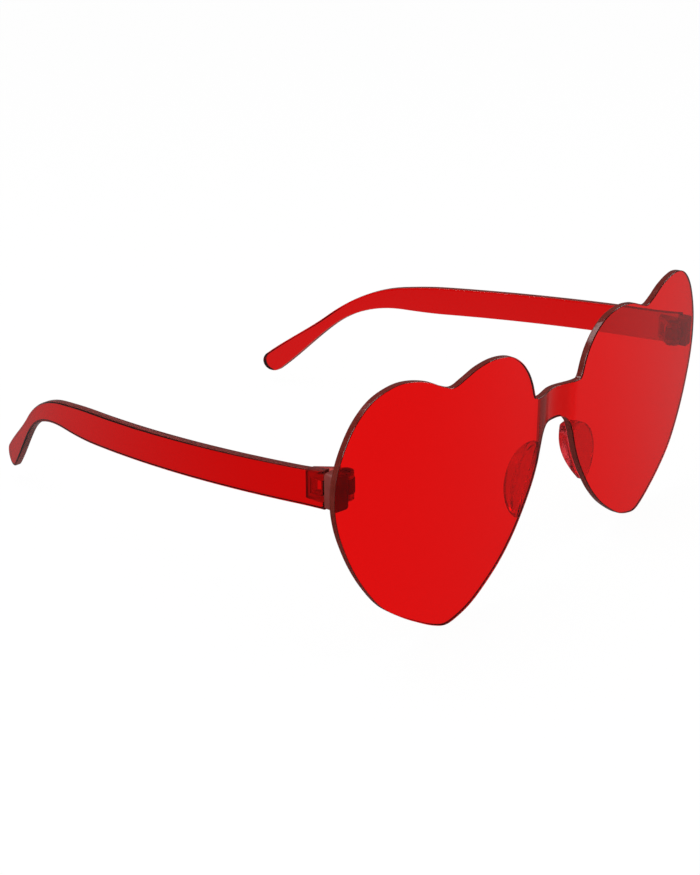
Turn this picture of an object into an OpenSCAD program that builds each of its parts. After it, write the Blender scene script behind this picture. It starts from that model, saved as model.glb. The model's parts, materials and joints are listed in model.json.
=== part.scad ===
// Heart shaped sunglasses with a one-piece clear red front.
// The front faces -Y, the temples reach back along +Y, and +Z is up.
// The front stands upright on the two heart tips, at z = 0, with the temples held level.
// The origin is on that level, midway between the front face and the ends of the temples.

/* [Front] */
// Width across both lenses
front_w = 153; // [130:1:166]
// Height of a heart, from its lower tip to its outer lobe
heart_h = 64.2; // [54:0.1:70]
// Thickness of the front, the same in lenses and bridge
sheet_t = 1.8; // [1.5:0.1:3]
// Radius of the wrap of each lens towards the ear
wrap_r = 320; // [240:10:500]
// Distance from the middle to where the wrap starts
flat_w = 18; // [18:1:24]
// Half width of the bowed part of the bridge
bow_w = 8; // [6:0.5:9]
// Depth of that bow, back from the front face
bow_t = 1.5; // [0.5:0.1:2]
// Turn of the lens edges towards the middle, which keeps them square to the lens, in degrees
edge_a = 5; // [0:0.5:10]

/* [Nose pads] */
// Radius of the outer edge of a pad, seen from the front
pad_r = 9.9; // [8:0.1:12]
// Distance from the middle to the centre of that edge
pad_x = 8.9; // [6:0.1:10]
// Distance from the underside of the bridge down to that centre
pad_drop = 13.4; // [12:0.1:18]
// Thickness of a pad at its highest point
pad_t = 3.3; // [2:0.1:5]
// Radius of the domed side that rests on the nose
pad_dome_r = 26; // [18:0.5:40]

/* [Hinges] */
// Distance of the hinge centre down from the top of a heart
hinge_drop = 21.2; // [16:0.1:26]
// Distance of each pin in from the widest point of the lens
pin_in = 7.1; // [6:0.1:10]
// Gap between the middle knuckle and the back of the lens
knuckle_gap = 1.2; // [0.2:0.1:2]
// Radius of the pin
pin_r = 0.7; // [0.5:0.05:0.9]
// Radial play of the pin in its bores
pin_play = 0.05; // [0.03:0.01:0.08]
// Radius of the screw head
head_r = 1.25; // [1:0.05:1.4]
// Depth of the screw head
head_t = 0.8; // [0.5:0.1:1.2]
// Width of the driver slot across the head
slot_w = 0.35; // [0.2:0.05:0.5]
// Depth of the driver slot
slot_t = 0.35; // [0.2:0.05:0.5]
// Radius of the middle knuckle, on the end piece
tongue_r = 2; // [1.6:0.1:2.1]
// Height of that knuckle
tongue_h = 3.4; // [2.6:0.1:5]
// Radius of the two outer knuckles, on the temple
knuckle_r = 1.8; // [1.5:0.1:2]
// Height over all three knuckles
lug_h = 6.6; // [5.6:0.1:10]
// Height of the end piece
end_h = 8.4; // [7:0.1:12]
// Distance of the inner side of its block in from the widest point of the lens
end_in = 4.9; // [4:0.1:6]
// Distance from the pin axis back to the butt joint
joint_back = 0.3; // [0:0.1:1]
// Gap in the butt joint and beside each knuckle
joint_gap = 0.1; // [0.05:0.05:0.3]
// Length of the lug that carries the outer knuckles
lug_l = 5.6; // [4:0.1:8]
// Thickness of the bar that closes the lug at its rear
lug_bar_t = 1.2; // [0.8:0.1:2]
// Depth of the lug into the temple
lug_root_t = 0.8; // [0.5:0.1:1.5]

/* [Temples] */
// Distance of its inner face in from the widest point of the lens
temple_in = 3.5; // [3:0.1:5]
// Thickness of a temple
temple_t = 2.4; // [2:0.1:4]
// Height of a temple along its straight part
temple_h = 8.6; // [6.6:0.1:10]
// Length of the straight part
straight_l = 95; // [80:1:110]
// Length of the bend over the ear
bend_l = 27; // [20:1:36]
// Fall of the straight part, in degrees
fall_a = 4.9; // [0:0.1:8]
// Further fall of the hook, in degrees
bend_a = 35.5; // [25:0.5:45]
// Outward lean at the hinge, in degrees
lean_out_a = 5.5; // [0:0.5:8]
// Inward lean at the bend, in degrees
lean_in_a = 12; // [4:0.5:14]
// Further inward lean of the hook, in degrees
hook_in_a = 9; // [5:1:20]
// Height of the narrow neck of the hook
neck_h = 3.7; // [3.2:0.1:6]
// Height of the rounded tip
tip_h = 6.7; // [5:0.1:9]
// Height of the temple tips above the level of the heart tips
tip_up = 4.5; // [0:0.5:8]
// Length over which the front end of a temple flares
flare_l = 8; // [5:0.5:12]
// Rise of the upper flare
flare_up = 0.3; // [0:0.1:2.5]
// Fall of the lower flare
flare_down = 0.2; // [0:0.1:1]

/* [Hidden] */
red = [0.84, 0.08, 0.08];
deep_red = [0.72, 0.06, 0.07];
steel = [0.72, 0.72, 0.74];
over = sheet_t;
half_w = front_w / 2;
hinge_z = heart_h - hinge_drop;
pin_x = half_w - pin_in;
end_x = half_w - end_in;
temple_x = half_w - temple_in;
bow_r = (bow_w * bow_w + bow_t * bow_t) / (2 * bow_t);
bore_r = pin_r + pin_play;
// The middle knuckle stands just clear of the lens, whose back is a cylinder there
clear_r = wrap_r - sheet_t - knuckle_gap - tongue_r;
pin_y = wrap_r - sqrt(pow(clear_r, 2) - pow(pin_x - flat_w, 2));
joint_y = pin_y + joint_back;
lug_gap = tongue_h / 2 + joint_gap;
// Where the web of each knuckle leaves its round, and where a temple starts to narrow
tongue_share = 0.8;
root_share = 0.6;
arm_share = 0.7;
neck_share = 0.84;

// Half of the front's outline, as shares of half the width and of the heart's height.
// It starts in the notch above the bridge and ends below the middle of the bridge.
heart_shares = [[0.122, 0.740], [0.133, 0.755], [0.149, 0.807], [0.174, 0.860],
  [0.217, 0.913], [0.277, 0.952], [0.356, 0.967], [0.431, 0.958], [0.492, 0.935],
  [0.541, 0.919], [0.588, 0.936], [0.648, 0.970], [0.719, 0.992], [0.784, 0.994],
  [0.858, 0.968], [0.918, 0.910], [0.962, 0.829], [0.991, 0.738], [1.000, 0.643],
  [0.992, 0.558], [0.971, 0.474], [0.936, 0.377], [0.889, 0.282], [0.829, 0.192],
  [0.753, 0.121], [0.677, 0.064], [0.612, 0.022], [0.557, 0.000], [0.502, 0.009],
  [0.437, 0.036], [0.369, 0.084], [0.293, 0.151], [0.227, 0.231], [0.173, 0.319],
  [0.133, 0.399], [0.108, 0.467], [0.090, 0.533], [0.073, 0.581], [0.047, 0.606],
  [0.000, 0.609]];
before_share = [0.110, 0.740];
dome_share = [0.16, 0.23];
outline_steps = 3;

function shared(p) = [p[0] * half_w, p[1] * heart_h];
function knot(i) = i < 0 ? shared(before_share)
  : i < len(heart_shares) ? shared(heart_shares[i])
  : [-knot(2 * len(heart_shares) - i - 2)[0], knot(2 * len(heart_shares) - i - 2)[1]];
function blend(a, b, c, d, t) = (2 * b + (c - a) * t + (2 * a - 5 * b + 4 * c - d) * t * t
  + (3 * b - a - 3 * c + d) * t * t * t) / 2;
half_line = [for (i = [0 : len(heart_shares) - 2], k = [0 : outline_steps - 1])
  blend(knot(i - 1), knot(i), knot(i + 1), knot(i + 2), k / outline_steps)];
low_z = min([for (p = half_line) p[1]]);
right_line = [for (p = half_line) p - [0, low_z]];
last = len(right_line) - 1;
pad_z = right_line[last][1] - pad_drop;

// The outline of one half, drawn on a plane that is turned by edge_a, so that it comes to
// its place on the front face when it is cut straight through from that plane
function face_y(x) = wrap_r - sqrt(wrap_r * wrap_r - pow(max(0, x - flat_w), 2));
function to_plane(p) = [p[0] * cos(edge_a) + face_y(p[0]) * sin(edge_a), p[1]];
outline = concat([[0, right_line[0][1]]], [for (p = right_line) to_plane(p)],
  [[0, right_line[last][1]]]);

// One heart and its half of the bridge, as a block cut to their outline
module outline_block() {
  rotate([0, 0, edge_a]) translate([0, wrap_r / 2, 0]) rotate([90, 0, 0])
    linear_extrude(wrap_r) polygon(outline);
}

// The bent sheet seen from above, before it is cut to the outline
module wing_plan() {
  intersection() {
    translate([flat_w, wrap_r]) difference() {
      circle(wrap_r, $fn = 360);
      circle(wrap_r - sheet_t, $fn = 360);
    }
    translate([flat_w, 0]) square([half_w, wrap_r / 2]);
  }
}

module sheet_plan() {
  difference() {
    union() {
      translate([-flat_w, 0]) square([2 * flat_w, sheet_t]);
      wing_plan();
      mirror([1, 0]) wing_plan();
      intersection() {
        translate([0, bow_t - bow_r]) circle(bow_r + sheet_t, $fn = 120);
        translate([-bow_r, 0]) square([2 * bow_r, bow_r]);
      }
    }
    translate([0, bow_t - bow_r]) circle(bow_r, $fn = 120);
  }
}

// One sheet of clear plastic makes both lenses and the bridge
module front_lens() {
  color(red) intersection() {
    translate([0, 0, -heart_h / 2]) linear_extrude(2 * heart_h) sheet_plan();
    union() {
      outline_block();
      mirror([1, 0, 0]) outline_block();
    }
  }
}

// A domed pad behind the nose side of each lens, cut to the lens edge
module nose_pad() {
  color(red) difference() {
    intersection() {
      outline_block();
      translate([pad_x, sheet_t + pad_t + over, pad_z]) rotate([90, 0, 0])
        cylinder(r = pad_r, h = pad_t + over, $fn = 90);
      translate([pad_x + dome_share[0] * pad_r, sheet_t + pad_t - pad_dome_r,
        pad_z + dome_share[1] * pad_r]) sphere(pad_dome_r, $fn = 240);
    }
    translate([0, bow_t - bow_r, 0]) cylinder(r = bow_r + sheet_t, h = heart_h, $fn = 120);
  }
}

// The block bonded to the lens and its middle knuckle
module end_piece() {
  color(deep_red) difference() {
    union() {
      intersection() {
        translate([end_x, 0, hinge_z - end_h / 2])
          cube([temple_x + temple_t - end_x, joint_y, end_h]);
        translate([flat_w, wrap_r, 0]) cylinder(r = wrap_r - sheet_t, h = heart_h, $fn = 360);
      }
      translate([0, 0, hinge_z - tongue_h / 2]) linear_extrude(tongue_h) {
        translate([pin_x, pin_y]) circle(tongue_r, $fn = 48);
        polygon([[pin_x, pin_y - tongue_share * tongue_r],
          [end_x + lug_root_t, pin_y - root_share * tongue_r],
          [end_x + lug_root_t, joint_y], [pin_x + tongue_r / 2, joint_y]]);
      }
    }
    translate([pin_x, pin_y, hinge_z - lug_h]) cylinder(r = bore_r, h = 2 * lug_h, $fn = 32);
  }
}

// The screw that is the hinge pin, with its slotted head on top
module hinge_screw() {
  color(steel) translate([pin_x, pin_y, hinge_z - lug_h / 2]) difference() {
    union() {
      cylinder(r = pin_r, h = lug_h - head_t / 2, $fn = 32);
      translate([0, 0, lug_h - head_t]) cylinder(r = head_r, h = head_t, $fn = 32);
    }
    translate([-slot_w / 2, -2 * head_r, lug_h - slot_t]) cube([slot_w, 4 * head_r, 2 * slot_t]);
  }
}

// Side line of a temple: where it is, how steep it is and how high it is.
// The hook is as long as it takes for its rounded tip to end tip_up above the heart tips.
bend_r = bend_l / (bend_a * PI / 180);
front_y = joint_y + joint_gap;
function steep(s) = fall_a + bend_a * min(1, max(0, (s - straight_l) / bend_l));
function along(a, l) = [l * cos(a), -l * sin(a)];
function turned(a) = bend_r * [sin(a) - sin(fall_a), cos(a) - cos(fall_a)];
bend_start = [front_y, hinge_z] + along(fall_a, straight_l);
bend_end = bend_start + turned(fall_a + bend_a);
hook_l = (bend_end[1] - tip_h / 2 - tip_up) / sin(fall_a + bend_a);
temple_l = straight_l + bend_l + hook_l;
function side_at(s) = s <= straight_l ? [front_y, hinge_z] + along(fall_a, s)
  : bend_start + turned(steep(s)) + along(steep(s), max(0, s - straight_l - bend_l));
function ease(s, a, b) = let (t = min(1, max(0, (s - a) / (b - a)))) t * t * (3 - 2 * t);
neck_start = neck_share * straight_l;
neck_end = straight_l + bend_l;
function half_h(s) = temple_h / 2 + (neck_h - temple_h) / 2 * ease(s, neck_start, neck_end)
  + (tip_h - neck_h) / 2 * ease(s, neck_end, temple_l);
function flare(s, rise) = rise * pow(max(0, 1 - s / flare_l), 2);
function square_to(s) = [sin(steep(s)), cos(steep(s))];
stations = concat([-over], [for (i = [0 : 4]) flare_l * i / 5], [for (i = [0 : 5]) flare_l
  + (neck_start - flare_l) * i / 6], [for (i = [0 : 23]) neck_start
  + (temple_l - neck_start) * i / 23]);
side_end = len(stations) - 1;
side_line = concat(
  [for (s = stations) side_at(s) + square_to(s) * (half_h(s) + flare(s, flare_up))],
  [for (a = [80 : -10 : -80]) side_at(temple_l) + square_to(temple_l) * tip_h / 2 * sin(a)
    + along(steep(temple_l), tip_h / 2 * cos(a))],
  [for (i = [side_end : -1 : 0]) let (s = stations[i])
    side_at(s) - square_to(s) * (half_h(s) + flare(s, flare_down))]);

// The pieces are drawn from the front face back, and moved so that the origin is midway
mid_y = (side_at(temple_l)[0] + tip_h / 2) / 2;
module centred() {
  translate([0, -mid_y, 0]) children();
}

// Top line of a temple: two arcs and the straight end of the hook
lean_r = straight_l / ((lean_out_a + lean_in_a) * PI / 180);
hook_r = bend_l / (hook_in_a * PI / 180);
hook_a = lean_in_a + hook_in_a;
function round_about(r, o, a, from) = [(r + o) * cos(a) - r * cos(from),
  (r + o) * sin(a) - r * sin(from)];
lean_start = [temple_x, front_y];
hook_start = lean_start + round_about(lean_r, 0, lean_in_a, -lean_out_a);
hook_end = hook_start + round_about(hook_r, 0, hook_a, lean_in_a);
function top_at(i, o) = i <= 16 ? lean_start + round_about(lean_r, o, i / 16 * (lean_in_a + lean_out_a)
    - lean_out_a, -lean_out_a)
  : i <= 24 ? hook_start + round_about(hook_r, o, lean_in_a + (i - 16) / 8 * hook_in_a, lean_in_a)
  : hook_end + o * [cos(hook_a), sin(hook_a)] + 2 * hook_l * [-sin(hook_a), cos(hook_a)];
top_line = concat([for (i = [0 : 25]) top_at(i, 0)], [for (i = [25 : -1 : 1])
  top_at(i, temple_t)], [lean_start + [temple_t, 0]]);

// A knuckle, its arm and the lug root, seen from above
module lug_plan() {
  translate([pin_x, pin_y]) circle(knuckle_r, $fn = 48);
  polygon([[pin_x + knuckle_r / 2, front_y], [temple_x + lug_root_t, front_y],
    [temple_x + lug_root_t, front_y + lug_l], [temple_x - lug_root_t, front_y + lug_l],
    [pin_x - knuckle_r / 2, pin_y + arm_share * knuckle_r]]);
}

// A temple with its two outer knuckles
module temple() {
  color(deep_red) difference() {
    union() {
      intersection() {
        rotate([90, 0, 90]) linear_extrude(2 * front_w) polygon(side_line);
        translate([0, 0, -heart_h]) linear_extrude(3 * heart_h) polygon(top_line);
      }
      for (side = [0, 1]) mirror([0, 0, side]) translate([0, 0, side == 0 ? hinge_z + lug_gap
        : lug_gap - hinge_z]) linear_extrude(lug_h / 2 - lug_gap) lug_plan();
      translate([temple_x - lug_root_t, front_y + lug_l - lug_bar_t, hinge_z - lug_h / 2])
        cube([2 * lug_root_t, lug_bar_t, lug_h]);
    }
    translate([pin_x, pin_y, hinge_z - lug_h]) cylinder(r = bore_r, h = 2 * lug_h, $fn = 32);
    translate([pin_x, pin_y, hinge_z + lug_h / 2 - head_t])
      cylinder(r = head_r + joint_gap, h = lug_h, $fn = 32);
  }
}

centred() front_lens();
centred() nose_pad();  // nose_pad_left
centred() mirror([1, 0, 0]) nose_pad();  // nose_pad_right
centred() end_piece();  // end_piece_left
centred() mirror([1, 0, 0]) end_piece();  // end_piece_right
centred() hinge_screw();  // hinge_screw_left
centred() mirror([1, 0, 0]) hinge_screw();  // hinge_screw_right
centred() temple();  // temple_left
centred() mirror([1, 0, 0]) temple();  // temple_right
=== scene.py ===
import json
import math

import bmesh
import bpy
from mathutils import Matrix, Vector


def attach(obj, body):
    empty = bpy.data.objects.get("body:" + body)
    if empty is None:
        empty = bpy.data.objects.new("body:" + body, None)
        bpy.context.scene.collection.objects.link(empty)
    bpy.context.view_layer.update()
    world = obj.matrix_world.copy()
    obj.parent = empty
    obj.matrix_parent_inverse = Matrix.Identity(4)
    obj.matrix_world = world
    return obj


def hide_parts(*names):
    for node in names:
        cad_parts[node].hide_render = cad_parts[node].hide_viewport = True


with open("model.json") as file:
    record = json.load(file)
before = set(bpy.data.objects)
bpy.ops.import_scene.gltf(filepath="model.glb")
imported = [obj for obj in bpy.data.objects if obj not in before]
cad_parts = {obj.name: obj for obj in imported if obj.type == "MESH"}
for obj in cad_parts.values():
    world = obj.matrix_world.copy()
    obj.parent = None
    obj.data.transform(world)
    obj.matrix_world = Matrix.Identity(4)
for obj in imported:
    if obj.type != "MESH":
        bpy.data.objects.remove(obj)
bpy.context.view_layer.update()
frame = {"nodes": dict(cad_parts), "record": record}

# Front: one sheet of red polycarbonate, cut as two joined hearts, with its edges rounded
# and polished. It was bent while hot: each lens wraps towards the ear, and the bridge is
# bowed back. The dye is all through it, so it looks darker the further light goes in it.
front_w = 153
heart_h = 64.2
sheet_t = 1.8
wrap_r = 320
flat_w = 18
bow_w = 8
bow_t = 1.5
bow_ends = 0.6
edge_r = 0.3
edge_a = math.radians(5)
outline_steps = 10
half_w = front_w / 2
front_y = -frame["record"]["size"]["bbox_m"][1] * 1000 / 2
heart_shares = [
    (0.122, 0.740), (0.133, 0.755), (0.149, 0.807), (0.174, 0.860), (0.217, 0.913),
    (0.277, 0.952), (0.356, 0.967), (0.431, 0.958), (0.492, 0.935), (0.541, 0.919),
    (0.588, 0.936), (0.648, 0.970), (0.719, 0.992), (0.784, 0.994), (0.858, 0.968),
    (0.918, 0.910), (0.962, 0.829), (0.991, 0.738), (1.000, 0.643), (0.992, 0.558),
    (0.971, 0.474), (0.936, 0.377), (0.889, 0.282), (0.829, 0.192), (0.753, 0.121),
    (0.677, 0.064), (0.612, 0.022), (0.557, 0.000), (0.502, 0.009), (0.437, 0.036),
    (0.369, 0.084), (0.293, 0.151), (0.227, 0.231), (0.173, 0.319), (0.133, 0.399),
    (0.108, 0.467), (0.090, 0.533), (0.073, 0.581), (0.047, 0.606), (0.000, 0.609),
]
before_share = (0.110, 0.740)


def through(points, first, last, parts):
    """Points of a smooth line through these, with one more point beyond each end."""
    knots = [Vector(p) for p in [first, *points, last]]
    line = []
    for a, b, c, d in zip(knots, knots[1:], knots[2:], knots[3:]):
        for k in range(parts):
            t = k / parts
            line.append((2 * b + (c - a) * t + (2 * a - 5 * b + 4 * c - d) * t**2
                         + (3 * b - a - 3 * c + d) * t**3) / 2)
    return line


def half_outline():
    """One heart's outline, from above the bridge round to below the bridge's middle."""
    beyond = (-heart_shares[-2][0], heart_shares[-2][1])
    line = [Vector((x * half_w, z * heart_h)) for x, z in
            through(heart_shares, before_share, beyond, outline_steps)]
    low = min(z for x, z in line)
    return [Vector((x, z - low)) for x, z in line]


def hearts_outline():
    """The outline of both hearts and the bridge, seen from the front."""
    line = half_outline()
    return ([Vector((0, line[0].y))] + line + [Vector((0, line[-1].y))]
            + [Vector((-x, z)) for x, z in reversed(line)])


def front_place(x, t, z):
    """Bends the flat sheet, and turns its edges with it so that they stay square to it."""
    side = math.copysign(1, x)
    x = abs(x)
    turn = math.asin(max(0, x - flat_w) / wrap_r)
    edge = edge_a * min(1, x / bow_w)
    bow = bow_t * (1 + math.cos(math.pi * min(1, x / (bow_w + bow_ends)))) / 2
    deep = t * sheet_t / math.cos(turn - edge)
    return (side * (x - deep * math.sin(edge)),
            front_y + wrap_r * (1 - math.cos(turn)) + bow + deep * math.cos(edge), z)


def rounded_sheet(name, outline, thick, round_r, place, cuts=(), cross_cuts=(), back_clear=0):
    """A sheet cut to an outline, with rounded edges, cut into strips and then bent.
    place(u, t, v) is where the outline's point u, v comes, t from one face to the other.
    Slot 0 takes both faces and the rows of the edge next to them, three at the first face
    and back_clear at the other one. Slot 1 takes the rows between."""
    front_clear = 3
    # At a sharp corner, the inset of the rounding grows no further than this allows.
    least_cosine = 0.6
    area = sum(a.x * b.y - b.x * a.y for a, b in zip(outline, outline[1:] + outline[:1]))
    if area < 0:
        outline = outline[::-1]
    count = len(outline)
    inward = []
    for i, p in enumerate(outline):
        one = (p - outline[i - 1]).normalized()
        two = (outline[(i + 1) % count] - p).normalized()
        normal = Vector((-one.y - two.y, one.x + two.x)).normalized()
        inward.append(normal / max(least_cosine, normal.dot(Vector((-one.y, one.x)))))
    turns = [math.radians(a) for a in range(0, 91, 18)]
    rounds = [(round_r * (1 - math.sin(a)), round_r * (1 - math.cos(a))) for a in turns]
    rounds += [(inset, thick - depth) for inset, depth in reversed(rounds)]
    edge_rows = len(rounds) - 1
    mesh = bmesh.new()
    rings = [[mesh.verts.new((p.x + n.x * inset, depth, p.y + n.y * inset))
              for p, n in zip(outline, inward)] for inset, depth in rounds]
    for k, (one, two) in enumerate(zip(rings, rings[1:])):
        for i in range(count):
            j = (i + 1) % count
            wall = mesh.faces.new((one[i], one[j], two[j], two[i]))
            # The middle rows of the edge take slot 1, which on the front and the temples holds
            # the edge's painted shade.
            wall.material_index = int(front_clear <= k < edge_rows - back_clear)
    mesh.faces.new(reversed(rings[0]))
    mesh.faces.new(rings[-1])
    for normal, places in ((Vector((1, 0, 0)), cuts), (Vector((0, 0, 1)), cross_cuts)):
        for c in places:
            bmesh.ops.bisect_plane(mesh, geom=mesh.verts[:] + mesh.edges[:] + mesh.faces[:],
                                   dist=1e-5, plane_co=normal * c, plane_no=normal)
    for v in mesh.verts:
        v.co = Vector(place(v.co.x, v.co.y / thick, v.co.z)) / 1000
    bmesh.ops.recalc_face_normals(mesh, faces=mesh.faces)
    data = bpy.data.meshes.new(name)
    mesh.to_mesh(data)
    mesh.free()
    piece = bpy.data.objects.new(name, data)
    bpy.context.scene.collection.objects.link(piece)
    return piece


def smooth(piece):
    """Flat faces stay flat to the eye, and the rounded edges between them turn smoothly."""
    piece.data.shade_smooth()
    piece.data.set_sharp_from_angle(angle=math.radians(50))
    even = piece.modifiers.new("even_normals", "WEIGHTED_NORMAL")
    even.keep_sharp = True


def middles(start, end, count):
    """The middle of each of this many equal parts."""
    return [start + (end - start) * (i + 0.5) / count for i in range(count)]


# Strips 0.4 mm wide in the bow and 1.3 mm wide in the lenses keep the bends smooth.
bow_cut_w = 8.4
bow_strips = 43
lens_strips = 52
cut_gap = 0.1
bow_cuts = middles(-bow_cut_w, bow_cut_w, bow_strips)
lens_cuts = middles(bow_cut_w + 2 * cut_gap, half_w - cut_gap, lens_strips)
front = rounded_sheet("front", hearts_outline(), sheet_t, edge_r, front_place,
                      bow_cuts + lens_cuts + [-x for x in lens_cuts])
smooth(front)


def linear(code):
    """A colour written as sRGB hex, as Blender's linear numbers."""
    parts = [int(code[i:i + 2], 16) / 255 for i in (1, 3, 5)]
    return [c / 12.92 if c <= 0.04045 else ((c + 0.055) / 1.055) ** 2.4 for c in parts] + [1]


def add(tree, kind, values=None, links=None, **settings):
    """Adds a node with its settings, its values and the sockets that lead to it."""
    made = tree.nodes.new(kind)
    for key, value in settings.items():
        setattr(made, key, value)
    for key, value in (values or {}).items():
        made.inputs[key].default_value = value
    for key, socket in (links or {}).items():
        tree.links.new(socket, made.inputs[key])
    return made


def new_material(name):
    """A material whose nodes are still to be added."""
    made = bpy.data.materials.new(name)
    made.use_nodes = True
    made.node_tree.nodes.clear()
    return made


# Polycarbonate bends light by 1.586. Its polish is not quite even: faint waves 9 mm long
# are left from the sheet, and fingers and cloths have dulled it in patches of 14 mm. The
# dye takes every colour but red out of the light, the more the thicker the plastic is.
def polycarbonate(name, tint, dye_colour, dye_per_mm, painted_shade=()):
    """painted_shade holds ramps across the width, in millimetres, each from one share of
    painted shade to another. Their product is how much of the surface is painted dark there."""
    made = new_material(name)
    tree = made.node_tree
    at = add(tree, "ShaderNodeTexCoord").outputs["Object"]
    patches = add(tree, "ShaderNodeTexNoise", {"Scale": 1000 / 14, "Detail": 4}, {"Vector": at})
    dull = add(tree, "ShaderNodeMapRange", {"From Min": 0.4, "From Max": 0.75, "To Min": 0.015,
               "To Max": 0.05}, {"Value": patches.outputs["Fac"]})
    waves = add(tree, "ShaderNodeTexNoise", {"Scale": 1000 / 9, "Detail": 1}, {"Vector": at})
    bump = add(tree, "ShaderNodeBump", {"Strength": 0.25, "Distance": 0.04 / 1000},
               {"Height": waves.outputs["Fac"]})
    body = add(tree, "ShaderNodeBsdfPrincipled", {"Base Color": linear(tint), "IOR": 1.586,
               "Transmission Weight": 1}, {"Roughness": dull.outputs["Result"],
               "Normal": bump.outputs["Normal"]})
    dye = add(tree, "ShaderNodeVolumeAbsorption", {"Color": linear(dye_colour),
              "Density": dye_per_mm * 1000})
    surface = body.outputs["BSDF"]
    if painted_shade:
        across = add(tree, "ShaderNodeSeparateXYZ", None, {0: at}).outputs["X"]
        share = None
        for start, end, low, high in painted_shade:
            ramp = add(tree, "ShaderNodeMapRange", {"From Min": start / 1000,
                       "From Max": end / 1000, "To Min": low, "To Max": high},
                       {"Value": across}, interpolation_type="SMOOTHSTEP").outputs["Result"]
            share = ramp if share is None else add(tree, "ShaderNodeMath", None,
                {0: share, 1: ramp}, operation="MULTIPLY").outputs["Value"]
        # An opaque dark brown red: painted shade laid over the clear plastic.
        cloud_and_shade = add(tree, "ShaderNodeBsdfPrincipled", {"Base Color": linear("#701F18"),
                    "IOR": 1.586, "Roughness": 0.25})
        surface = add(tree, "ShaderNodeMixShader", None, {"Fac": share, 1: surface,
                      2: cloud_and_shade.outputs["BSDF"]}).outputs["Shader"]
    add(tree, "ShaderNodeOutputMaterial", None, {"Surface": surface,
        "Volume": dye.outputs["Volume"]})
    return made


# The cut edge is painted a dark brown red, in clouds of 4 mm: painted shade for the light
# that runs along inside the sheet and is taken in there. The cutter leaves lines 0.25 mm
# apart, which polishing has nearly closed.
def painted_shade_edge(name, low, high, smoothest, clear):
    uneven = 0.12
    made = new_material(name)
    tree = made.node_tree
    at = add(tree, "ShaderNodeTexCoord").outputs["Object"]
    cloudy = add(tree, "ShaderNodeTexNoise", {"Scale": 1000 / 4, "Detail": 3}, {"Vector": at})
    colour = add(tree, "ShaderNodeMix", {6: linear(low), 7: linear(high)},
                 {"Factor": cloudy.outputs["Fac"]}, data_type="RGBA")
    lines = add(tree, "ShaderNodeTexNoise", {"Scale": 1000 / 0.25, "Detail": 2}, {"Vector": at})
    bump = add(tree, "ShaderNodeBump", {"Strength": 0.05, "Distance": 0.02 / 1000},
               {"Height": lines.outputs["Fac"]})
    gloss = add(tree, "ShaderNodeMapRange", {"From Min": 0.3, "From Max": 0.7,
                "To Min": smoothest, "To Max": smoothest + uneven},
                {"Value": cloudy.outputs["Fac"]})
    body = add(tree, "ShaderNodeBsdfPrincipled", {"IOR": 1.586, "Transmission Weight": clear},
               {"Base Color": colour.outputs[2], "Roughness": gloss.outputs["Result"],
                "Normal": bump.outputs["Normal"]})
    add(tree, "ShaderNodeOutputMaterial", None, {"Surface": body.outputs["BSDF"]})
    return made


# Painted shade on the bridge: a dark brown red laid over it, a little along most of it, and
# most in a band at the wearer's right end, where the bow bends back.
lens_red = polycarbonate("red_polycarbonate", "#FF8A8A", "#F93838", 2.4,
                         painted_shade=((-8.4, -8.1, 0, 1), (-6, -1.5, 0.55, 0.16), (5, 8, 1, 0)))
# The middle of the lens edge gets a dark brown red: painted shade.
lens_edge = painted_shade_edge("red_polycarbonate_edge", "#641A12", "#86281E", 0.12, 0.4)
front.data.materials.append(lens_red)
front.data.materials.append(lens_edge)
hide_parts("front_lens")
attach(front, "front")

# Nose pads: two domed leaves of cloudy red silicone, shaped to the edge of the lens on the
# nose side and bonded to its back.
pad_r = 9.9
pad_x = 8.9
pad_drop = 13.4
pad_t = 3.3
pad_rim_t = 0.3
pad_in = 3
pad_strips = 26
pad_rows = 40
pad_dome_r = 26
pad_round = 0.35
dome_share = (0.16, 0.23)
bond_gap = 0.02
arc_parts = 60
pad_z = half_outline()[-1].y - pad_drop


def heading(a):
    """One step at this angle."""
    return Vector((math.cos(a), math.sin(a)))


def mirrored(piece, name):
    """The same piece for the other side of the face."""
    other = piece.copy()
    other.name = name
    other.data = piece.data.copy()
    other.data.name = name
    other.data.transform(Matrix.Scale(-1, 4, (1, 0, 0)))
    other.data.flip_normals()
    bpy.context.scene.collection.objects.link(other)
    return other


def pad_outline():
    """The lens edge on the nose side, closed by the round outer edge of the pad."""
    centre = Vector((pad_x, pad_z))
    inside = [p for p in half_outline() if (p - centre).length < pad_r]
    low, high = inside[0] - centre, inside[-1] - centre
    a, b = math.atan2(low.y, low.x), math.atan2(high.y, high.x)
    return inside + [centre + pad_r * heading(b + (a - b) * i / arc_parts)
                     for i in range(1, arc_parts)]


def pad_place(x, t, z):
    """Lays the pad on the back of the lens, and gives its other side the dome."""
    centre = Vector((pad_x + dome_share[0] * pad_r, pad_z + dome_share[1] * pad_r))
    away = (Vector((x, z)) - centre).length
    dome = sheet_t + pad_t - pad_dome_r + math.sqrt(pad_dome_r**2 - away**2)
    low = front_place(x, 1, z)[1] + bond_gap
    return x, low + (max(front_y + dome, low + pad_rim_t) - low) * t, z


pad_left = rounded_sheet("nose_pad_l", pad_outline(), pad_t, pad_round, pad_place,
                         middles(pad_x - pad_in, pad_x + pad_r, pad_strips),
                         middles(pad_z - pad_r, pad_z + pad_r, pad_rows))
smooth(pad_left)


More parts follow.
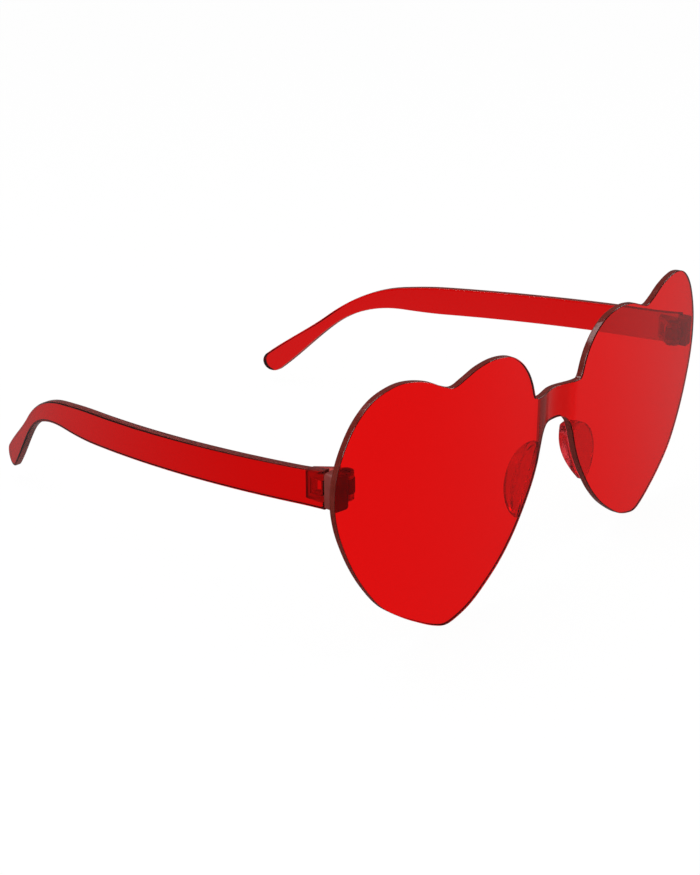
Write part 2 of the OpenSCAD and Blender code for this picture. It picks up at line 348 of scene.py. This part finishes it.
# Cloudy plastic of the same red, with clouds 3 mm wide in its colour. The mould gives it a
# fine grain, which scatters the light a little.
def cloudy_red(name, low, high, rough, clear, ior, grain_mm):
    made = new_material(name)
    tree = made.node_tree
    at = add(tree, "ShaderNodeTexCoord").outputs["Object"]
    cloud_and_shade = add(tree, "ShaderNodeTexNoise", {"Scale": 1000 / 3, "Detail": 3}, {"Vector": at})
    colour = add(tree, "ShaderNodeMix", {6: linear(low), 7: linear(high)},
                 {"Factor": cloud_and_shade.outputs["Fac"]}, data_type="RGBA")
    grain = add(tree, "ShaderNodeTexNoise", {"Scale": 1000 / grain_mm, "Detail": 2},
                {"Vector": at})
    bump = add(tree, "ShaderNodeBump", {"Strength": 0.25, "Distance": 0.02 / 1000},
               {"Height": grain.outputs["Fac"]})
    body = add(tree, "ShaderNodeBsdfPrincipled", {"IOR": ior, "Roughness": rough,
               "Transmission Weight": clear}, {"Base Color": colour.outputs[2],
               "Normal": bump.outputs["Normal"]})
    add(tree, "ShaderNodeOutputMaterial", None, {"Surface": body.outputs["BSDF"]})
    return made


# Cast silicone bends light by 1.41. It is cloudy, but lets most of the light through.
pad_red = cloudy_red("cloudy_silicone", "#D83840", "#F04850", 0.12, 0.93, 1.41, 0.5)
pad_left.data.materials.append(pad_red)
pad_left.data.materials.append(pad_red)
pad_right = mirrored(pad_left, "nose_pad_r")
for pad, side in ((pad_left, "left"), (pad_right, "right")):
    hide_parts("nose_pad_" + side)
    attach(pad, "front")

# End pieces: blocks moulded with the middle knuckle of the hinge, bonded to the back of
# each lens. The mould leaves them a little matt; their dark brown red is painted shade.
hinge_drop = 21.2
pin_in = 7.1
pin_r = 0.7
pin_play = 0.05
knuckle_gap = 1.2
tongue_r = 2
tongue_h = 3.4
tongue_share = 0.8
root_share = 0.6
end_h = 8.4
end_t = 4
end_in = 4.9
end_round = 0.5
corner_r = 0.8
pin_round = 0.15
end_strips = 6
cutter_round = 0.01
joint_back = 0.3
temple_in = 3.5
temple_t = 2.4
lug_root_t = 0.8
circle_parts = 40
hinge_z = heart_h - hinge_drop
pin_x = half_w - pin_in
clear_r = wrap_r - sheet_t - knuckle_gap - tongue_r
pin_y = front_y + wrap_r - math.sqrt(clear_r**2 - (pin_x - flat_w) ** 2)
end_x = half_w - end_in
temple_x = half_w - temple_in


def end_place(x, t, z):
    """Lays the block on the back of the lens, and ends it square at the joint."""
    low = front_y + wrap_r - math.sqrt((wrap_r - sheet_t) ** 2 - (x - flat_w) ** 2) + bond_gap
    return x, low + (pin_y + joint_back - low) * t, z


def round_end(radius, line):
    """Closes a line, whose ends lie within a circle about the pin, with that circle."""
    parts = 36
    ends = []
    for inner, outer in ((line[0], line[1]), (line[-1], line[-2])):
        along = outer - inner
        b, c = inner.dot(along), inner.length_squared - radius**2
        t = (-b + math.sqrt(b * b - along.length_squared * c)) / along.length_squared
        ends.append(inner + along * t)
    first, last = [math.atan2(p.y, p.x) for p in ends]
    if first < last:
        first += 2 * math.pi
    return [radius * heading(last + (first - last) * i / parts)
            for i in range(parts + 1)] + line[1:-1]


def pin_place(low, height):
    """Lays a sheet level about the pin, from this height above the hinge's middle up."""
    return lambda x, t, y: (pin_x + x, pin_y + y, hinge_z + low + t * height)


def shaped(piece, other, how):
    """Joins the other piece to this one, or cuts it away, for good."""
    work = piece.modifiers.new("shaped", "BOOLEAN")
    work.operation = how
    work.object = other
    work.solver = "EXACT"
    ready = piece.evaluated_get(bpy.context.evaluated_depsgraph_get())
    data = bpy.data.meshes.new_from_object(ready)
    piece.modifiers.clear()
    piece.data = data
    bpy.data.objects.remove(other)


def bore(radius, low, height):
    """A round cutter on the line of the pin."""
    circle = [radius * heading(2 * math.pi * i / circle_parts) for i in range(circle_parts)]
    return rounded_sheet("bore", circle, height, cutter_round, pin_place(low, height))


def one_material(piece, material):
    """One material all over, on both sides of what was joined or cut."""
    for face in piece.data.polygons:
        face.material_index = 0
    piece.data.materials.clear()
    piece.data.materials.append(material)


block = []
for x, z, start in ((end_x, -end_h / 2, 180), (temple_x + temple_t, -end_h / 2, 270),
                    (temple_x + temple_t, end_h / 2, 0), (end_x, end_h / 2, 90)):
    centre = Vector((x + (corner_r if x == end_x else -corner_r),
                     hinge_z + z - math.copysign(corner_r, z)))
    block += [centre + corner_r * heading(math.radians(start + a)) for a in range(0, 91, 15)]
end_left = rounded_sheet("end_piece_l", block, end_t, end_round, end_place,
                         middles(end_x, temple_x + temple_t, end_strips))
root = end_x + lug_root_t - pin_x
tongue = rounded_sheet("tongue", round_end(tongue_r, [
    Vector((0, -tongue_share * tongue_r)), Vector((root, -root_share * tongue_r)),
    Vector((root, joint_back)), Vector((tongue_r / 2, joint_back))]),
    tongue_h, pin_round, pin_place(-tongue_h / 2, tongue_h))
shaped(end_left, tongue, "UNION")
shaped(end_left, bore(pin_r + pin_play, -end_h, 2 * end_h), "DIFFERENCE")
smooth(end_left)

# Moulded polycarbonate: spark erosion gave the mould a grain of 0.3 mm, which scatters the
# light that enters. Its dark brown red is painted shade, for the dark of many faces behind each
# other.
one_material(end_left, cloudy_red("moulded_polycarbonate", "#78241E", "#98362F",
                                  0.4, 0.35, 1.586, 0.3))
end_right = mirrored(end_left, "end_piece_r")
for piece, side in ((end_left, "left"), (end_right, "right")):
    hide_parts("end_piece_" + side)
    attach(piece, "front")

# Hinge screws: turned steel, each the pin of its hinge, with a slotted head sunk in the
# upper knuckle. Wear has dulled the steel a little in patches of 1 mm. The lathe left
# rings 0.13 mm apart, as the texture draws 3.2 waves to each 0.4 mm of its scale.
steel = new_material("turned_steel")
tree = steel.node_tree
at = add(tree, "ShaderNodeTexCoord").outputs["Object"]
rings = add(tree, "ShaderNodeTexWave", {"Scale": 1000 / 0.4, "Distortion": 0.4, "Detail": 1},
            {"Vector": at}, bands_direction="Z")
bump = add(tree, "ShaderNodeBump", {"Strength": 0.15, "Distance": 0.02 / 1000},
           {"Height": rings.outputs["Fac"]})
worn = add(tree, "ShaderNodeTexNoise", {"Scale": 1000 / 1, "Detail": 3}, {"Vector": at})
rough = add(tree, "ShaderNodeMapRange", {"To Min": 0.22, "To Max": 0.42},
            {"Value": worn.outputs["Fac"]})
body = add(tree, "ShaderNodeBsdfPrincipled", {"Base Color": linear("#BDBDC1"), "Metallic": 1},
           {"Roughness": rough.outputs["Result"], "Normal": bump.outputs["Normal"]})
add(tree, "ShaderNodeOutputMaterial", None, {"Surface": body.outputs["BSDF"]})
for side in ("left", "right"):
    screw = frame["nodes"]["hinge_screw_" + side]
    screw.data.materials.clear()
    screw.data.materials.append(steel)

# Temples: moulded in the same clear red, 2.4 mm thick and so a deeper red, with rounded and
# polished edges. Each bends over the ear to a narrow neck and a wider, round tip.
joint_gap = 0.1
temple_h = 8.6
straight_l = 95
bend_l = 27
fall_a = math.radians(4.9)
bend_a = math.radians(35.5)
lean_out_a = math.radians(5.5)
lean_in_a = math.radians(12)
hook_in_a = math.radians(9)
neck_h = 3.7
neck_share = 0.84
tip_h = 6.7
tip_up = 4.5
flare_l = 8
flare_up = 0.3
flare_down = 0.2
temple_round = 0.6
before_joint = 1.8
flare_parts = 12
side_parts = 80
temple_strips = 90
strips_start = 1
strips_end = 144
temple_y = pin_y + joint_back + joint_gap
bend_r = bend_l / bend_a


def ahead(a):
    """One step along a temple that falls at this angle, seen from the side."""
    return Vector((math.cos(a), -math.sin(a)))


def above(a):
    """One step up, square to a temple that falls at this angle."""
    return Vector((math.sin(a), math.cos(a)))


def steep(s):
    """How steeply a temple falls at a length s from the joint."""
    return fall_a + bend_a * min(1, max(0, (s - straight_l) / bend_l))


bend_start = Vector((temple_y, hinge_z)) + straight_l * ahead(fall_a)


def side_at(s):
    """The middle line of a temple seen from the side, at a length s from the joint."""
    if s <= straight_l:
        return Vector((temple_y, hinge_z)) + s * ahead(fall_a)
    a = steep(s)
    turned = Vector((math.sin(a) - math.sin(fall_a), math.cos(a) - math.cos(fall_a)))
    return bend_start + bend_r * turned + max(0, s - straight_l - bend_l) * ahead(a)


hook_l = (side_at(straight_l + bend_l).y - tip_h / 2 - tip_up) / math.sin(fall_a + bend_a)
temple_l = straight_l + bend_l + hook_l


def ease(s, a, b):
    """Goes smoothly from 0 at a to 1 at b."""
    t = min(1, max(0, (s - a) / (b - a)))
    return t * t * (3 - 2 * t)


def temple_outline():
    """A temple from the side: flared at the joint, narrow at the neck, round at the tip."""
    neck_start, neck_end = neck_share * straight_l, straight_l + bend_l
    upper, lower = [], []
    for s in [-before_joint] + [flare_l * i / flare_parts for i in range(flare_parts)] + [
            flare_l + (temple_l - flare_l) * i / side_parts for i in range(side_parts + 1)]:
        half = (temple_h + (neck_h - temple_h) * ease(s, neck_start, neck_end)
                + (tip_h - neck_h) * ease(s, neck_end, temple_l)) / 2
        flare = max(0, 1 - s / flare_l) ** 2
        upper.append(side_at(s) + above(steep(s)) * (half + flare_up * flare))
        lower.append(side_at(s) - above(steep(s)) * (half + flare_down * flare))
    tip = [side_at(temple_l) + tip_h / 2 * above(steep(temple_l) + math.radians(d))
           for d in range(8, 180, 8)]
    line = upper + tip + lower[::-1]
    kept = []
    for p, q in zip(line, line[1:] + line[:1]):
        if p.x >= temple_y:
            kept.append(p)
        if (p.x < temple_y) != (q.x < temple_y):
            kept.append(p + (q - p) * (temple_y - p.x) / (q.x - p.x))
    return kept


lean_r = straight_l / (lean_out_a + lean_in_a)
hook_r = bend_l / hook_in_a
hook_a = lean_in_a + hook_in_a
lean_centre = Vector((temple_x, temple_y)) - lean_r * heading(-lean_out_a)
hook_centre = lean_centre + (lean_r - hook_r) * heading(lean_in_a)


def temple_place(y, t, z):
    """Bows a temple out and then in, as seen from above."""
    x = []
    for off in (0, temple_t):
        a = math.asin((y - lean_centre.y) / (lean_r + off))
        b = math.asin(min(1, max(-1, (y - hook_centre.y) / (hook_r + off))))
        if a <= lean_in_a:
            x.append(lean_centre.x + (lean_r + off) * math.cos(a))
        elif b <= hook_a:
            x.append(hook_centre.x + (hook_r + off) * math.cos(b))
        else:
            end = hook_centre + (hook_r + off) * heading(hook_a)
            x.append(end.x - (y - end.y) * math.tan(hook_a))
    return x[0] * (1 - t) + x[1] * t, y, z


# The moulded edge is clear next to both faces, and painted dark between, as painted shade.
temple_left = rounded_sheet("temple_l", temple_outline(), temple_t, temple_round, temple_place,
                            middles(temple_y + strips_start, temple_y + strips_end,
                                    temple_strips), back_clear=3)
smooth(temple_left)
temple_left.data.materials.append(
    polycarbonate("deep_red_polycarbonate", "#FF9090", "#F83030", 3.0))
temple_left.data.materials.append(
    painted_shade_edge("deep_red_polycarbonate_edge", "#6C1E18", "#88302A", 0.12, 0.7))

# Hinge lugs: moulded into the front end of each temple. Two knuckles stand on their arms
# above and below the end piece's knuckle, and a bar joins the arms at the back.
knuckle_r = 1.8
arm_share = 0.7
head_r = 1.25
head_t = 0.8
lug_h = 6.6
lug_l = 5.6
lug_bar_t = 1.2
window_start = -4
window_out = 9
lug_gap = tongue_h / 2 + joint_gap
joint = joint_back + joint_gap
near, far = temple_x - lug_root_t - pin_x, temple_x + lug_root_t - pin_x
lug_left = rounded_sheet("temple_lug_l", round_end(knuckle_r, [
    Vector((knuckle_r / 2, joint)), Vector((far, joint)), Vector((far, joint + lug_l)),
    Vector((near, joint + lug_l)), Vector((-knuckle_r / 2, arm_share * knuckle_r))]),
    lug_h, pin_round, pin_place(-lug_h / 2, lug_h))
window_end = joint + lug_l - lug_bar_t
window = [Vector((x, y)) for x, y in (
    (window_start, window_start), (window_out, window_start),
    (window_out, window_end), (window_start, window_end))]
shaped(lug_left, rounded_sheet("window", window, 2 * lug_gap, cutter_round,
                               pin_place(-lug_gap, 2 * lug_gap)), "DIFFERENCE")
shaped(lug_left, bore(pin_r + pin_play, -lug_h, 2 * lug_h), "DIFFERENCE")
shaped(lug_left, bore(head_r + joint_gap, lug_h / 2 - head_t, lug_h), "DIFFERENCE")
smooth(lug_left)

# The same moulded plastic. The lugs are thin and their mould was polished, and they keep its
# own lighter, clearer red; the darker red of the end pieces is painted shade.
one_material(lug_left, cloudy_red("clear_moulded_polycarbonate", "#D04840", "#E0564E",
                                  0.3, 0.9, 1.586, 0.3))
for left, name in ((temple_left, "temple"), (lug_left, "temple_lug")):
    for piece, side in ((left, "left"), (mirrored(left, name + "_r"), "right")):
        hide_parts("temple_" + side)
        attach(piece, side + "_arm")

# Floor: a white table that runs on into a white background. The camera, and whatever is
# seen through the clear plastic, gets it white. Reflections get it as a studio has it:
# bright behind the glasses, and falling off to dark around the camera.
floor_w = 6000
floor_drop = 0.02
seen_white = 0.96
bpy.ops.mesh.primitive_plane_add(size=floor_w / 1000, location=(0, 0, -floor_drop / 1000))
floor = bpy.context.object
floor.name = "floor"


def ray_kinds(tree):
    """How far a ray is seen directly or through the plastic, and how far it is mirrored."""
    path = add(tree, "ShaderNodeLightPath").outputs
    seen = add(tree, "ShaderNodeMath", None, {0: path["Is Camera Ray"],
               1: path["Is Transmission Ray"]}, operation="MAXIMUM")
    mirror = add(tree, "ShaderNodeMath", None, {0: path["Is Reflection Ray"],
                 1: path["Is Glossy Ray"]}, operation="MULTIPLY")
    return seen.outputs["Value"], mirror.outputs["Value"]


def brighter_behind(tree, at, away, start, end, brightest):
    """How bright the studio is when mirrored: dim on the photographer's side of the
    glasses, and brighter beyond them."""
    dimmest = 0.05
    far = add(tree, "ShaderNodeVectorMath", {1: away}, {0: at}, operation="DOT_PRODUCT")
    return add(tree, "ShaderNodeMapRange", {"From Min": start, "From Max": end,
               "To Min": dimmest, "To Max": brightest}, {"Value": far.outputs["Value"]},
               interpolation_type="SMOOTHSTEP").outputs["Result"]


table = new_material("white_table")
tree = table.node_tree
seen, mirror = ray_kinds(tree)
at = add(tree, "ShaderNodeNewGeometry").outputs["Position"]
matt = add(tree, "ShaderNodeBsdfDiffuse", {"Color": linear("#F2F2F2")}).outputs["BSDF"]
white = add(tree, "ShaderNodeEmission", {"Color": linear("#FFFFFF")}).outputs["Emission"]
beyond = brighter_behind(tree, at, away=(0.753, 0.658, 0), start=-0.12, end=0.07,
                         brightest=0.19)
dim = add(tree, "ShaderNodeEmission", {"Color": linear("#FFFFFF")}, {"Strength": beyond})
part_white = add(tree, "ShaderNodeMixShader", {"Fac": seen_white}, {1: matt, 2: white})
mirror_view = add(tree, "ShaderNodeMixShader", None, {"Fac": mirror, 1: matt,
                  2: dim.outputs["Emission"]})
table_view = add(tree, "ShaderNodeMixShader", None, {"Fac": seen,
                 1: mirror_view.outputs["Shader"], 2: part_white.outputs["Shader"]})
add(tree, "ShaderNodeOutputMaterial", None, {"Surface": table_view.outputs["Shader"]})
floor.data.materials.append(table)

# Background and lamps: an even white room, and soft boxes above and to both sides. Their
# places and sizes are in metres, and their power is in watts.
room_level = 0.8
world = bpy.data.worlds.new("white_room")
bpy.context.scene.world = world
world.use_nodes = True
tree = world.node_tree
tree.nodes.clear()
seen, mirror = ray_kinds(tree)
to = add(tree, "ShaderNodeTexCoord").outputs["Generated"]
beyond = brighter_behind(tree, to, away=(0.7, 0.6, 0.4), start=-0.8, end=0.9,
                         brightest=0.1)
level = add(tree, "ShaderNodeMix", {"A": room_level}, {"Factor": mirror, "B": beyond})
total = add(tree, "ShaderNodeMix", {"B": 1}, {"Factor": seen, "A": level.outputs["Result"]})
room = add(tree, "ShaderNodeBackground", {"Color": linear("#FFFFFF")},
           {"Strength": total.outputs["Result"]})
add(tree, "ShaderNodeOutputWorld", None, {"Surface": room.outputs["Background"]})
for name, place, size, power in (("top_box", (-0.15, 0.1, 0.7), 0.5, 2),
                                 ("left_box", (-0.8, -0.1, 0.45), 0.35, 2),
                                 ("right_box", (0.7, -0.3, 0.5), 0.4, 1)):
    light = bpy.data.lights.new(name, "AREA")
    light.size = size
    light.energy = power
    lamp = bpy.data.objects.new(name, light)
    bpy.context.scene.collection.objects.link(lamp)
    lamp.location = place
    lamp.rotation_euler = (-Vector(place)).to_track_quat("-Z", "Y").to_euler()

# Camera: to the wearer's right of the glasses and above them, as in the photograph, with
# its place measured from the middle of the front face.
image_h_px = 875
focal_px = 1475
sensor_h = 24
camera_at = Vector((-287.44, -182.69, 170.12))
camera_turn = (68.136, 0.261, -49.05)
optics = bpy.data.cameras.new("camera")
optics.sensor_fit = "VERTICAL"
optics.sensor_height = sensor_h
optics.lens = focal_px / image_h_px * sensor_h
camera = bpy.data.objects.new("camera", optics)
bpy.context.scene.collection.objects.link(camera)
camera.location = (camera_at + Vector((0, front_y, 0))) / 1000
camera.rotation_euler = [math.radians(a) for a in camera_turn]
bpy.context.scene.camera = camera
bpy.context.scene.view_settings.view_transform = "Standard"
